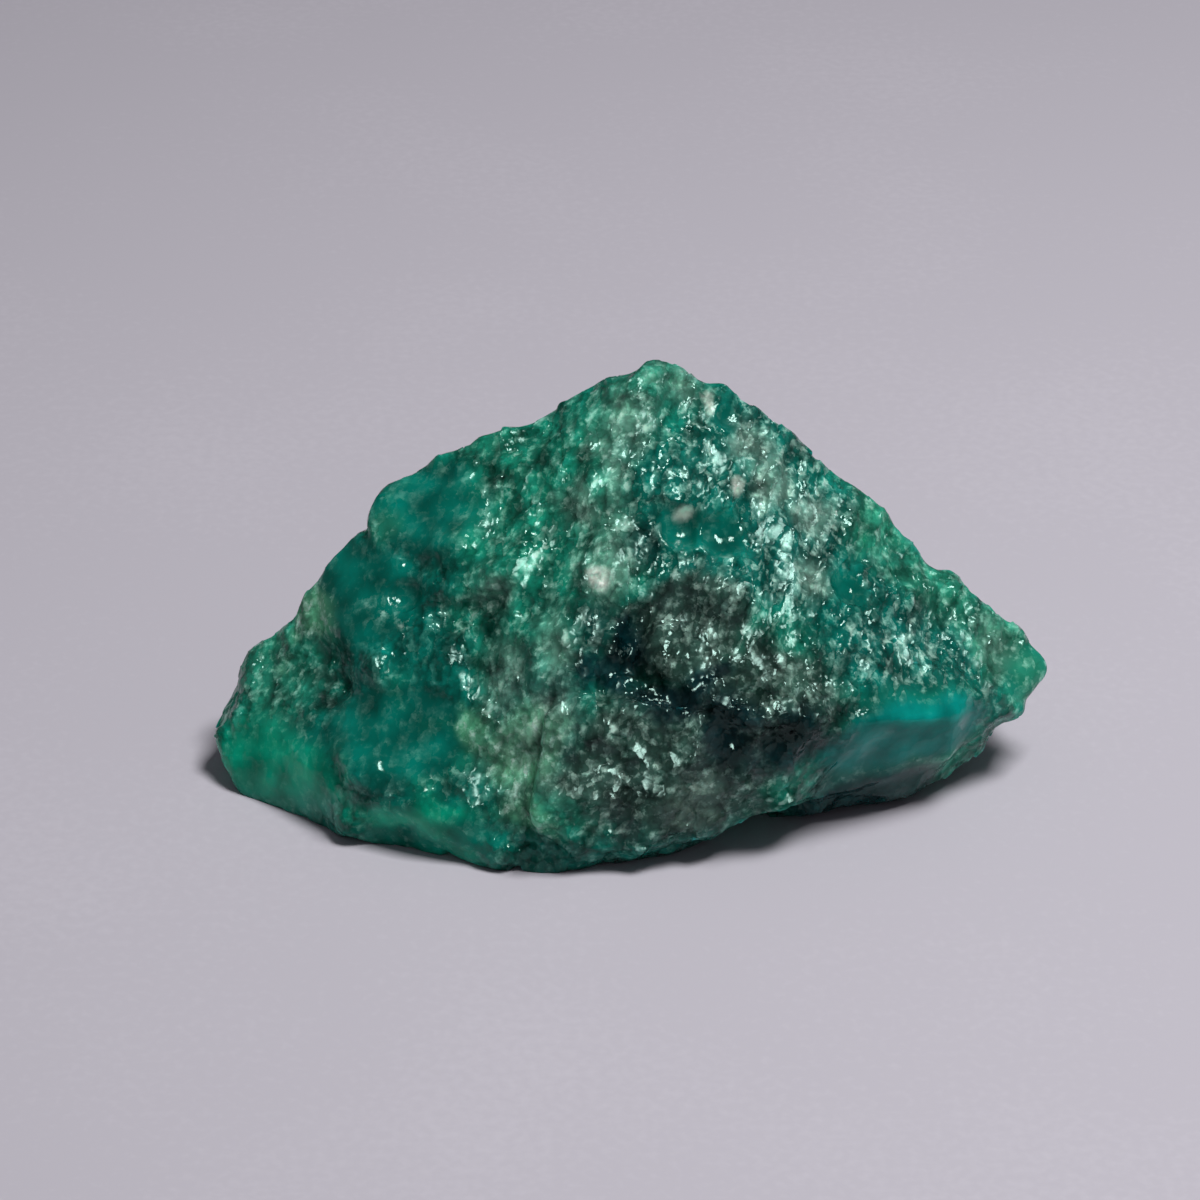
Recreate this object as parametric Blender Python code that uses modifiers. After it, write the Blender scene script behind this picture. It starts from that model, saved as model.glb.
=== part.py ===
"""A rough green gemstone, broken out of its vein: one stone with a blunt summit and a flat rest.

The stone is a cluster of intergrown blocks. Each block is the convex hull of its named corners, and
Booleans join them. A voxel remesh welds the seams, then the skin is broken into shell-shaped hollows
and chips, deep on the rough faces and faint in the glassy places. Last, the base is cut flat.

Units are metres, +Z is up, +X runs along the stone and -Y faces the front. The origin is the middle
of the stone's length and depth, on the surface that it lies on.
"""

import bmesh
import bpy
from mathutils import Matrix, Vector

MM = 0.001

# Driving dimensions, in millimetres
STONE_LENGTH = 31.6
VOXEL = 0.2
GROUND_BOX = (60.0, 60.0, 10.0)

CORNER_SMOOTHING_ROUNDS = 3
TRIANGLES_BEFORE_CUT = 11400

# The skin's relief, in millimetres: how wide its forms are and how strongly they move the skin
SWELLS = (6.0, 0.40)
SHELL_HOLLOWS = (3.4, 0.62)
CHIPS = (1.5, 0.34)

# The texture value that leaves the skin where it is
RELIEF_MIDDLE = {"CLOUDS": 0.45, "VORONOI": 0.28}

# The skin's look: linear colour, roughness
STONE_GREEN = (0.012, 0.148, 0.105, 1.0)
STONE_ROUGHNESS = 0.3

# Corners of each block in millimetres, as (along, back, up)
SUMMIT = (
    (0.5, 3.3, 15.2), (1.9, 3.5, 15.3),
    (3.4, 3.3, 13.7), (6.3, 2.9, 12.0), (7.9, 2.5, 10.9),
    (10.0, 1.6, 7.5), (13.3, 0.8, 4.9), (15.1, 0.2, 4.5),
    (15.9, -0.1, 4.2), (15.9, -0.4, 3.7), (15.2, -0.8, 3.7),
    (-1.6, 3.5, 13.8), (-3.6, 3.7, 12.8), (-5.0, 3.7, 11.0),
    (4.4, 1.4, 12.4), (7.4, 1.0, 9.9), (9.6, -0.4, 7.7), (12.8, -1.5, 5.3),
    (-0.8, 0.0, 12.4), (-1.2, -3.0, 9.9), (-2.9, -6.0, 6.9),
    (0.3, -6.4, 7.2), (4.6, -6.3, 6.6),
    (6.3, -6.5, 5.3), (8.0, -6.2, 5.2), (10.6, -5.1, 4.6), (13.1, -3.3, 3.9), (14.4, -2.0, 3.5),
    (8.1, -5.1, 1.5), (10.0, -4.7, 1.9), (11.9, -3.8, 2.0), (13.5, -2.3, 2.3),
    (-9.2, 1.4, 7.2), (-9.4, -2.6, 4.9), (-7.0, -5.2, 4.0), (-4.4, -7.0, 3.2),
    (-3.4, -7.6, 1.0), (0.3, -7.6, 1.6), (5.6, -6.2, 2.0),
    (-3.0, 8.2, 7.6), (3.0, 8.6, 6.8), (8.4, 6.4, 4.6),
    (-8.6, 5.2, 4.4), (-3.5, 8.9, 1.5), (4.0, 9.2, 1.5), (9.0, 6.4, 1.2),
)
MATRIX_MASS = (
    (-3.4, -7.0, 6.0), (0.2, -7.4, 6.7), (3.6, -7.3, 6.5), (6.6, -6.9, 5.1),
    (-3.9, -8.7, 2.6), (-1.8, -8.9, 1.3), (0.3, -8.7, 1.3), (2.5, -7.8, 2.0),
    (4.3, -7.3, 1.9), (5.4, -7.1, 1.9), (6.4, -6.7, 2.4), (7.7, -6.2, 3.3),
    (8.0, -6.0, 4.4), (7.0, -6.5, 5.4),
    (-3.4, -7.9, -0.8), (-0.6, -7.4, -0.8), (0.0, 0.0, 0.0), (4.6, -4.0, 2.0), (0.0, -3.0, 6.5),
)
BASE_BAND = (
    (-4.4, -8.3, 0.9), (-1.9, -8.4, 1.0), (0.4, -7.8, 1.1), (2.4, -6.4, 1.4), (6.0, -4.4, 1.4),
    (-4.9, -7.7, -0.8), (-3.8, -8.1, -0.8), (-1.9, -8.0, -0.8), (0.3, -7.5, -0.8),
    (1.3, -6.1, -0.8), (3.2, -3.6, -0.8), (0.0, 0.0, -0.8), (-4.0, 0.0, 3.0),
)
FLANGE = (
    (5.9, -5.1, 0.5), (7.8, -4.7, 0.5), (9.7, -4.2, 0.55), (11.2, -3.7, 0.5),
    (12.6, -2.6, 0.75), (13.6, -1.2, 1.2), (14.1, -0.1, 2.0), (13.8, 0.6, 3.2),
    (8.1, -4.8, 1.6), (10.0, -4.4, 2.0), (11.9, -3.5, 2.2), (13.9, -1.9, 2.6),
    (4.0, -3.6, -0.8), (6.0, -2.6, -0.8), (8.0, 0.0, -0.8), (8.0, 5.2, -0.8),
    (12.2, 2.6, 1.4), (10.0, 5.6, 1.4), (2.0, 4.0, -0.8), (2.0, 0.0, 3.0), (4.0, 6.0, -0.8),
)
UPPER_SHOULDER = (
    (-3.5, 3.8, 12.6), (-5.0, 3.8, 11.2), (-6.1, 3.6, 11.3), (-7.4, 3.2, 10.7), (-8.7, 2.8, 10.5),
    (-9.5, 2.2, 10.0), (-9.8, 1.6, 9.4), (-9.6, 1.2, 8.9), (-8.8, -0.6, 7.9),
    (-6.6, -2.4, 7.9), (-3.8, -2.2, 9.4), (-2.0, 2.0, 11.6), (-8.0, 5.6, 7.0),
    (-4.0, 7.0, 6.0), (-4.0, 0.0, 3.0), (-8.6, 2.0, 4.0),
)
DARK_SHOULDER = (
    (-9.4, 2.1, 8.9), (-10.7, 1.6, 8.6), (-11.4, 1.3, 8.1), (-11.9, 0.8, 7.3),
    (-11.9, 0.1, 6.6), (-11.6, -0.9, 5.8), (-10.9, -2.2, 5.3), (-9.2, -4.0, 4.9),
    (-7.2, -4.4, 5.6), (-6.0, -3.0, 7.2), (-6.2, 0.0, 8.6), (-9.0, 5.0, 5.4),
    (-5.0, 0.0, 2.0), (-10.6, 1.0, 3.0),
)
SLIVER = (
    (-12.3, 0.9, 6.5), (-12.0, 1.0, 7.1), (-11.5, 1.6, 7.3), (-12.4, 0.2, 5.4),
    (-12.9, 1.3, 4.6), (-11.0, 1.0, 4.0), (-11.0, 0.0, 6.0), (-10.8, 2.6, 4.8),
)
LOBE = (
    (-12.2, 1.5, 5.6), (-13.0, 1.4, 4.8), (-13.9, 1.1, 4.2), (-14.8, 0.7, 3.6),
    (-15.4, 0.0, 2.4), (-15.8, -1.3, 1.7), (-15.5, -2.2, 1.0), (-14.9, -2.8, 0.3),
    (-14.2, -2.7, -0.8), (-13.2, -3.6, -0.8), (-12.0, -4.7, -0.8), (-11.0, -5.2, -0.8),
    (-12.6, -1.6, 4.2), (-14.2, -1.8, 3.1), (-11.9, -3.6, 3.4), (-11.0, -5.2, 2.9),
    (-10.2, -6.4, 1.2), (-11.0, 4.6, 2.6), (-13.6, 2.6, 1.0), (-8.0, 0.0, 4.6), (-8.0, 4.0, -0.8),
)
FOOT = (
    (-11.8, -3.4, 3.6), (-10.9, -5.2, 3.0), (-10.0, -6.6, 2.6), (-8.3, -7.3, 2.4),
    (-7.1, -7.9, 1.6), (-6.5, -8.1, 1.1), (-5.2, -8.4, 0.6), (-3.0, -8.4, 0.6),
    (-10.8, -5.3, -0.8), (-9.0, -6.1, -0.8), (-6.7, -6.9, -0.8), (-4.9, -7.7, -0.8),
    (-2.0, -7.6, -0.8), (-9.0, -3.0, 5.0), (-6.0, -5.2, 4.3), (-3.6, -7.4, 3.2),
    (-1.0, -7.0, 1.0), (-5.0, 0.0, 0.0), (-10.0, 0.0, 0.0),
)
BACK = (
    (-12.6, 3.6, 2.6), (-11.8, 4.6, 1.2), (-9.0, 6.8, 1.2), (-8.4, 6.2, 5.0), (-9.6, 2.0, 6.4),
    (-3.5, 8.9, 1.4), (4.0, 9.2, 1.4), (8.8, 6.4, 1.2), (-11.4, 3.4, -0.8), (-8.0, 5.4, -0.8),
    (-3.5, 7.9, -0.8), (3.6, 8.1, -0.8), (7.4, 5.4, -0.8), (0.0, 0.0, -0.8), (-12.0, -2.0, -0.8),
    (-12.4, -1.0, 3.6), (-2.6, 8.4, 6.6), (4.0, 8.6, 5.4),
)
BACK_STEP = (
    (-6.6, 6.6, 7.4), (-1.0, 8.0, 8.6), (2.6, 8.4, 7.8), (5.0, 7.4, 7.4), (3.0, 5.0, 11.0),
    (-3.0, 5.2, 10.6), (-5.6, 8.4, 4.0), (2.4, 9.6, 3.6), (5.4, 8.4, 4.6), (-4.8, 9.0, 2.0),
    (2.0, 9.6, 2.2), (0.0, 3.0, 8.0), (0.0, 3.0, 3.0),
)
RIGHT_STEP = (
    (3.6, 5.4, 9.6), (6.6, 4.6, 8.4), (9.6, 3.6, 6.6), (11.8, 3.2, 4.6), (4.8, 7.2, 6.6),
    (8.8, 6.6, 4.8), (11.4, 4.6, 3.4), (9.8, 6.2, 2.6), (6.4, 8.2, 3.4), (5.0, 2.0, 6.0),
    (9.0, 1.0, 4.0), (5.0, 4.0, 2.0),
)
BLOCKS = {
    "matrix_mass": MATRIX_MASS,
    "base_band": BASE_BAND,
    "flange": FLANGE,
    "upper_shoulder": UPPER_SHOULDER,
    "dark_shoulder": DARK_SHOULDER,
    "sliver": SLIVER,
    "lobe": LOBE,
    "foot": FOOT,
    "back": BACK,
    "back_step": BACK_STEP,
    "right_step": RIGHT_STEP,
}

# Where the stone broke glassy, with hardly a chip: middle and radius, in millimetres. The hollows
# are full from GLASSY_FADE radii out, and gone within the first part of the radius.
GLASSY_FADE = 1.0
GLASSY_CORE = 0.375
GLASSY_PLACES = (
    ((11.0, -4.6, 3.2), 3.2),
    ((-12.8, -3.6, 2.0), 3.4),
    ((-8.4, -4.8, 3.4), 3.0),
    ((-10.6, -0.6, 6.6), 2.4),
    ((-7.0, -6.6, 0.6), 2.6),
    ((15.2, -0.4, 3.8), 1.6),
)


def clear_scene():
    for obj in list(bpy.data.objects):
        bpy.data.objects.remove(obj, do_unlink=True)


def new_collection(name):
    collection = bpy.data.collections.new(name)
    bpy.context.scene.collection.children.link(collection)
    return collection


def object_from(shape, name, collection):
    """Turns a bmesh into a named object of the collection."""
    bmesh.ops.recalc_face_normals(shape, faces=shape.faces)
    mesh = bpy.data.meshes.new(name)
    shape.to_mesh(mesh)
    shape.free()
    obj = bpy.data.objects.new(name, mesh)
    collection.objects.link(obj)
    return obj


def hull_object(name, corners, collection):
    """A block: the convex hull of its corners."""
    shape = bmesh.new()
    for corner in corners:
        shape.verts.new(Vector(corner) * MM)
    hull = bmesh.ops.convex_hull(shape, input=shape.verts)
    inner = [item for item in hull["geom_interior"] if isinstance(item, bmesh.types.BMVert)]
    bmesh.ops.delete(shape, geom=inner, context="VERTS")
    return object_from(shape, name, collection)


def as_helper(obj):
    """Hides a block or a cutter from the render, and draws it as wire."""
    obj.display_type = "WIRE"
    obj.hide_render = True
    return obj


def add_boolean(obj, name, operation, other):
    modifier = obj.modifiers.new(name, "BOOLEAN")
    modifier.operation = operation
    modifier.object = other


def add_relief(obj, name, kind, width, strength, group=""):
    """Moves the skin in and out by a procedural texture whose forms are `width` millimetres across."""
    texture = bpy.data.textures.new(name, kind)
    texture.noise_scale = width * MM
    if kind == "VORONOI":
        texture.distance_metric = "DISTANCE_SQUARED"
    relief = obj.modifiers.new(name, "DISPLACE")
    relief.texture = texture
    relief.texture_coords = "LOCAL"
    relief.mid_level = RELIEF_MIDDLE[kind]
    relief.strength = strength * MM
    relief.vertex_group = group


def add_voxel_weld(obj, name):
    weld = obj.modifiers.new(name, "REMESH")
    weld.mode = "VOXEL"
    weld.voxel_size = VOXEL * MM


def apply_modifiers(obj):
    """Replaces the object's mesh by its evaluated one."""
    graph = bpy.context.evaluated_depsgraph_get()
    mesh = bpy.data.meshes.new_from_object(obj.evaluated_get(graph))
    mesh.name = obj.name
    obj.modifiers.clear()
    obj.data = mesh


def weld_blocks(stone, helper_collection):
    """Joins every block to the stone and welds the seams by voxels."""
    for name, corners in BLOCKS.items():
        block = as_helper(hull_object(name, corners, helper_collection))
        add_boolean(stone, "join_" + name, "UNION", block)
    add_voxel_weld(stone, "weld_seams")
    soften = stone.modifiers.new("soften_corners", "SMOOTH")
    soften.iterations = CORNER_SMOOTHING_ROUNDS
    apply_modifiers(stone)


def mark_rough_skin(stone):
    """A vertex group that is 1 on the rough faces and fades to 0 in the glassy places."""
    group = stone.vertex_groups.new(name="rough_skin")
    for vertex in stone.data.vertices:
        rough = 1.0
        for middle, radius in GLASSY_PLACES:
            away = (vertex.co / MM - Vector(middle)).length / radius
            rough = min(rough, max(0.0, (away - GLASSY_CORE) / (GLASSY_FADE - GLASSY_CORE)))
        group.add([vertex.index], rough, "REPLACE")


def break_skin(stone):
    """Swells the skin and breaks it into hollows and chips, then welds the folds that this makes."""
    mark_rough_skin(stone)
    add_relief(stone, "swells", "CLOUDS", *SWELLS)
    add_relief(stone, "shell_hollows", "VORONOI", *SHELL_HOLLOWS, group="rough_skin")
    add_relief(stone, "chips", "VORONOI", *CHIPS, group="rough_skin")
    add_voxel_weld(stone, "weld_folds")
    apply_modifiers(stone)


def thin_out(stone):
    """Collapses the voxel skin, which is all quads, to its share of triangles."""
    thin = stone.modifiers.new("thin_out", "DECIMATE")
    thin.ratio = TRIANGLES_BEFORE_CUT / (2 * len(stone.data.polygons))
    thin.use_collapse_triangulate = True
    apply_modifiers(stone)


def cut_base(stone, helper_collection):
    """Takes off what reaches below the surface that the stone lies on."""
    box = Vector(GROUND_BOX) * MM
    shape = bmesh.new()
    bmesh.ops.create_cube(shape, size=1.0)
    bmesh.ops.scale(shape, vec=box, verts=shape.verts)
    bmesh.ops.translate(shape, vec=(0.0, 0.0, -box.z / 2), verts=shape.verts)
    ground = as_helper(object_from(shape, "ground", helper_collection))
    add_boolean(stone, "cut_base", "DIFFERENCE", ground)
    apply_modifiers(stone)


def settle(stone):
    """Scales the stone to its length and puts the middle of its length and depth at the origin."""
    xs = [vertex.co.x for vertex in stone.data.vertices]
    ys = [vertex.co.y for vertex in stone.data.vertices]
    scale = STONE_LENGTH * MM / (max(xs) - min(xs))
    middle = Vector(((max(xs) + min(xs)) / 2, (max(ys) + min(ys)) / 2, 0.0))
    stone.data.transform(Matrix.Scale(scale, 4) @ Matrix.Translation(-middle))


def dress(stone):
    material = bpy.data.materials.new("broken_green_stone")
    material.use_nodes = True
    skin = material.node_tree.nodes["Principled BSDF"]
    skin.inputs["Base Color"].default_value = STONE_GREEN
    skin.inputs["Roughness"].default_value = STONE_ROUGHNESS
    skin.inputs["Metallic"].default_value = 0.0
    stone.data.materials.append(material)


def main():
    clear_scene()
    stone_collection = new_collection("hauyne")
    helper_collection = new_collection("blocks_and_cutter")
    stone = hull_object("rough_stone", SUMMIT, stone_collection)
    weld_blocks(stone, helper_collection)
    break_skin(stone)
    thin_out(stone)
    cut_base(stone, helper_collection)
    settle(stone)
    dress(stone)


main()
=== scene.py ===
"""A rough broken piece of translucent green crystal, dressed and lit as in its photograph.

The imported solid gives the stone's place and main forms. Here it gets its chips, its colour
zones, its clear and milky places, and a plain studio round it.
"""

import itertools
import logging
import math
from dataclasses import dataclass, field
from enum import Enum

import bmesh
import bpy
import numpy as np
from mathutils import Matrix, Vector, noise


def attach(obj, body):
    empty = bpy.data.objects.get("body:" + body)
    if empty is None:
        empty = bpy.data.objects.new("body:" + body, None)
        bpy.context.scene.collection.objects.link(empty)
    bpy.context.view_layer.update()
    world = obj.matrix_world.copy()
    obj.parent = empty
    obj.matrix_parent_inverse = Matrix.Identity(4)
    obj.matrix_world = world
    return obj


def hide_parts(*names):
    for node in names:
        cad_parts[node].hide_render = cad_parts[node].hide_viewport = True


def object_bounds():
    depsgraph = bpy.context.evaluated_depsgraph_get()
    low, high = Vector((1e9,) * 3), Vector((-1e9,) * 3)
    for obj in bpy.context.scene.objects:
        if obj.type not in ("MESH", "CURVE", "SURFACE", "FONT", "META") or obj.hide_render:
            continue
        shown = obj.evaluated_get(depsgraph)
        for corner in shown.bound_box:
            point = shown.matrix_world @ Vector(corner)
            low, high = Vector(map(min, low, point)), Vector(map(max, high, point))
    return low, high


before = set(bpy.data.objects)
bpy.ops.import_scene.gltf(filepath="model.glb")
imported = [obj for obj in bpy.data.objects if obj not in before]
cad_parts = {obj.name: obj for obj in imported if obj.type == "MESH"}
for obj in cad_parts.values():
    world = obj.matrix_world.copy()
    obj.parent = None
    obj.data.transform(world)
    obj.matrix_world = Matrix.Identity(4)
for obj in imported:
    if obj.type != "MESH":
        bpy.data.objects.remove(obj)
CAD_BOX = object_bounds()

LOG = logging.getLogger("rough_crystal")
MM = 0.001
PHOTO_SIDE = 1200

Pair = tuple[float, float]
Triple = tuple[float, float, float]


def linear_colour(code: str) -> tuple[float, float, float, float]:
    """Turn an sRGB hex code into linear light.

    Args:
        code: the colour as "#rrggbb".

    Returns:
        Red, green, blue and alpha as Blender's sockets take them.
    """
    levels = [int(code[place : place + 2], 16) / 255 for place in (1, 3, 5)]
    light = [v / 12.92 if v <= 0.04045 else ((v + 0.055) / 1.055) ** 2.4 for v in levels]
    return (light[0], light[1], light[2], 1.0)


def add_node(
    tree: bpy.types.NodeTree, kind: str, settings: dict | None = None, inputs: dict | None = None
) -> bpy.types.Node:
    """Add one node with its settings and its inputs.

    Args:
        tree: the node tree that it goes into.
        kind: Blender's name for the node.
        settings: the node's own attributes.
        inputs: a value, or an output socket to link, for each input by name or number.

    Returns:
        The new node.
    """
    node = tree.nodes.new(kind)
    for name, value in (settings or {}).items():
        setattr(node, name, value)
    for name, value in (inputs or {}).items():
        if isinstance(value, bpy.types.NodeSocket):
            tree.links.new(value, node.inputs[name])
        else:
            node.inputs[name].default_value = value
    return node


class Break(Enum):
    """How a place on the stone broke."""

    CHIPPED = "chipped"
    SPLINTERED = "splintered"
    GLASSY = "glassy"


@dataclass(frozen=True)
class Place:
    """A soft-edged ellipsoid that says which part of the stone is meant, in millimetres."""

    centre: Triple
    reach: Triple

    def share(self, points: np.ndarray, soft: float = 0.3) -> np.ndarray:
        """Say how far inside the place each point lies.

        Args:
            points: positions in millimetres, one row each.
            soft: the width of the soft edge, as a share of the reach.

        Returns:
            From 0 outside to 1 inside, one value for each point.
        """
        away = np.linalg.norm((points - self.centre) / self.reach, axis=1)
        raised = np.clip((1 + soft - away) / (2 * soft), 0, 1)
        return raised * raised * (3 - 2 * raised)


# Three draws place a cell's point, three tilt its facet and one lifts it.
DRAWS_PER_CELL = 7


@dataclass(frozen=True)
class Chips:
    """One size of broken facets, each round its own scattered point.

    Dished ones are bowls with sharp ridges between them. Stepped ones are flat plates, each
    tilted its own way, with a small step to the next. The size and the depth are in
    millimetres, and the salt sets where the points fall.
    """

    size: float
    depth: float
    tilt: float
    hollow: float
    salt: int
    stepped: bool = False
    along: Triple | None = None
    stretch: float = 1.0
    step: float = 0.35

    def heights(self, points: np.ndarray) -> np.ndarray:
        """Work out how high the broken surface stands at each point.

        Args:
            points: positions in millimetres, one row each.

        Returns:
            Heights in millimetres, with the mean at 0.
        """
        scaled = points / self.size
        if self.along is not None:
            axis = np.array(self.along) / np.linalg.norm(self.along)
            scaled = scaled + np.outer((scaled @ axis) * (1 / self.stretch - 1), axis)
        scaled = (scaled - scaled.min(axis=0) + 1.0).astype(np.float32)
        corner = np.floor(scaled).astype(np.int32)
        shape = tuple(corner.max(axis=0) + 3)
        draws = (*shape, DRAWS_PER_CELL)
        seeds = np.random.default_rng(self.salt).random(draws, dtype=np.float32)
        best = np.full(len(points), np.inf, np.float32)
        height = np.zeros(len(points), np.float32)
        for offset in itertools.product((-1, 0, 1), repeat=3):
            cell = corner + np.array(offset, np.int32)
            drawn = seeds[cell[:, 0], cell[:, 1], cell[:, 2]]
            away = scaled - (cell + drawn[:, :3])
            near = np.einsum("ij,ij->i", away, away)
            slope = np.einsum("ij,ij->i", drawn[:, 3:6] - 0.5, away) * (2 * self.tilt)
            dish = self.hollow * near + slope + self.step * drawn[:, 6]
            order = near if self.stepped else dish
            closer = order < best
            best[closer] = order[closer]
            height[closer] = dish[closer]
        return (height - height.mean()) * (self.depth / height.std())


@dataclass(frozen=True)
class Pit:
    """A round glassy hollow, in millimetres, whose rim is soft."""

    centre: Triple
    reach: float
    depth: float
    rim: float = 1.15
    rim_width: float = 0.3

    def away(self, points: np.ndarray) -> np.ndarray:
        """Give each point's distance from the centre as a share of the reach."""
        return np.linalg.norm(points - np.array(self.centre), axis=1) / self.reach

    def depths(self, points: np.ndarray) -> np.ndarray:
        """Say how deep the bowl is at each point.

        Args:
            points: positions in millimetres, one row each.

        Returns:
            Depths in millimetres, 0 outside the bowl.
        """
        away = self.away(points)
        return self.depth * np.clip(1 - away * away, 0, 1)

    def share(self, points: np.ndarray) -> np.ndarray:
        """Say how far inside the pit each point lies.

        Args:
            points: positions in millimetres, one row each.

        Returns:
            From 0 outside to 1 inside, one value for each point.
        """
        return np.clip((self.rim - self.away(points)) / self.rim_width, 0, 1)


@dataclass(frozen=True)
class Furrow:
    """A ragged groove along a bent line, in millimetres."""

    course: tuple[Triple, ...]
    half_width: float
    depth: float

    def depths(self, points: np.ndarray) -> np.ndarray:
        """Say how deep the groove is at each point.

        Args:
            points: positions in millimetres, one row each.

        Returns:
            Depths in millimetres, 0 away from the groove.
        """
        nearest = np.full(len(points), np.inf)
        for start, end in itertools.pairwise(map(np.array, self.course)):
            run = end - start
            along = np.clip((points - start) @ run / (run @ run), 0, 1)
            away = np.linalg.norm(points - start - along[:, None] * run, axis=1)
            nearest = np.minimum(nearest, away)
        return self.depth * np.exp(-((nearest / self.half_width) ** 2))


# Where the stone broke glassy, where it splintered, and where flat cleavage facets lie.
GLASSY_PLACES = (
    Place((10.5, -5.4, 3.2), (4.0, 2.6, 2.6)),
    Place((-13.0, -4.2, 1.6), (3.4, 2.4, 1.9)),
    Place((-8.6, -5.2, 3.8), (2.8, 2.4, 1.8)),
    Place((-10.4, -0.9, 7.4), (2.2, 2.6, 2.0)),
    Place((-7.2, -7.0, 1.0), (2.6, 2.0, 1.5)),
    Place((15.0, -1.0, 3.9), (1.5, 1.6, 1.2)),
    Place((-7.4, 0.6, 10.0), (2.2, 2.4, 1.6)),
)
SPLINTERED_PLACES = (
    Place((5.6, -1.8, 10.4), (4.4, 5.5, 4.2)),
    Place((9.6, -3.0, 6.8), (2.6, 2.8, 2.2)),
)
CLEAVED_PLACES = (
    Place((5.9, -1.2, 10.4), (1.9, 3.0, 2.4)),
    Place((5.6, -3.5, 9.0), (2.0, 1.5, 1.2)),
    Place((2.6, 0.6, 12.4), (1.8, 1.8, 1.6)),
    Place((-3.3, -2.0, 9.7), (1.8, 1.5, 1.4)),
    Place((-1.9, -0.9, 11.4), (0.9, 1.2, 1.1)),
    Place((-9.1, -1.8, 7.1), (0.9, 1.0, 0.9)),
    Place((-11.3, -2.2, 4.5), (0.6, 0.7, 0.6)),
    Place((-6.0, -4.4, 6.2), (0.9, 0.9, 0.9)),
    Place((4.4, -5.2, 7.9), (2.2, 1.4, 1.0)),
    Place((9.8, -3.4, 6.2), (2.6, 1.6, 1.3)),
    Place((12.2, -1.9, 5.7), (1.4, 1.2, 0.9)),
    Place((-0.6, -8.6, 4.0), (2.0, 1.4, 2.2)),
    Place((5.4, -7.6, 2.4), (1.1, 1.0, 0.9)),
)
PITS = (
    Pit((1.9, -2.2, 10.85), 0.95, 0.45),
    Pit((3.35, -2.4, 10.7), 1.0, 0.45),
    Pit((8.0, -2.2, 8.3), 0.8, 0.35),
    Pit((3.6, 1.7, 13.4), 0.6, 0.25),
    Pit((-8.4, -1.5, 7.6), 0.7, 0.3),
)
DENTS = (
    Pit((-1.2, 3.2, 14.3), 1.9, 0.5),
    Pit((10.6, 1.2, 7.9), 2.0, 0.5),
)
FURROWS = (
    Furrow(((0.4, -5.0, 8.7), (-0.2, -6.3, 7.4), (1.2, -7.2, 6.7), (2.6, -7.8, 6.3)), 0.55, 0.5),
    Furrow(((2.6, -7.8, 6.3), (4.0, -7.9, 5.2), (6.0, -7.3, 5.4), (8.2, -6.2, 5.4)), 0.5, 0.3),
)
ROUNDED_PLACES = (
    Place((-13.2, -3.2, 3.0), (3.4, 2.2, 1.7)),
    Place((-8.6, -4.6, 4.4), (2.4, 1.8, 1.2)),
    Place((-11.4, -2.2, 4.9), (2.2, 2.2, 1.8)),
)
# The way that the cleavage facets face, and the way that the splinters run.
CLEAVAGE = (0.17, -0.55, 0.81)
SPLINTER_RUN = (0.25, 0.8, 0.5)
SPLINTER_STRETCH = 2.2
STONE_CHIPS = (
    (Break.CHIPPED, Chips(size=2.4, depth=0.11, tilt=0.35, hollow=0.55, salt=11)),
    (Break.CHIPPED, Chips(size=1.2, depth=0.05, tilt=0.6, hollow=0.3, salt=12)),
    (Break.CHIPPED, Chips(size=0.6, depth=0.02, tilt=0.7, hollow=0.1, salt=13, stepped=True)),
    (
        Break.SPLINTERED,
        Chips(
            size=1.2,
            depth=0.08,
            tilt=0.6,
            hollow=0.3,
            salt=21,
            along=SPLINTER_RUN,
            stretch=SPLINTER_STRETCH,
        ),
    ),
    (
        Break.SPLINTERED,
        Chips(
            size=0.5,
            depth=0.035,
            tilt=0.7,
            hollow=0.1,
            salt=22,
            stepped=True,
            along=SPLINTER_RUN,
            stretch=SPLINTER_STRETCH,
        ),
    ),
    (Break.GLASSY, Chips(size=2.8, depth=0.08, tilt=0.3, hollow=0.5, salt=31)),
    (Break.GLASSY, Chips(size=1.0, depth=0.012, tilt=0.3, hollow=0.4, salt=32)),
)


@dataclass(frozen=True)
class ColourZone:
    """A stretch of the stone with its own colour, clearness and share of milky facets.

    The strength is how fully it covers what lies under it, soft is the width of its edge as a
    share of its reach, and wander is how much of the stone's stirring moves that edge.
    """

    name: str
    colour: str
    places: tuple[Place, ...]
    clear: float
    frost: float
    strength: float = 1.0
    soft: float = 0.35
    wander: float = 1.0


# Emerald: the stone's green, brightened as painted glow of light through its thin parts.
EMERALD_WITH_PAINTED_GLOW = "#00c49a"
DEEP_TEAL = "#007e6e"
MOSS = "#1a9a7c"
PALE_MOSS = "#6cc094"
SAGE = "#34a080"
SEA_GREEN = "#0c7468"
# Milky: the white of cracked places, also used as painted sheen and for a painted lit spot.
MILKY_AND_PAINTED_LIGHT = "#a6ccb8"
HOST_ROCK = "#364a42"
# Navy: a dark colour of the stone, also used as painted shade under the right edge and in the
# rock's furrow.
NAVY_AND_PAINTED_SHADE = "#02282f"
# Teal of the underside, brightened as a painted reflection of the floor.
TEAL_WITH_PAINTED_REFLECTION = "#008a80"
# Cream: pale inclusions, also painted as the white glints of the pits.
CREAM_AND_PAINTED_GLINT = "#e4f6e6"

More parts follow.
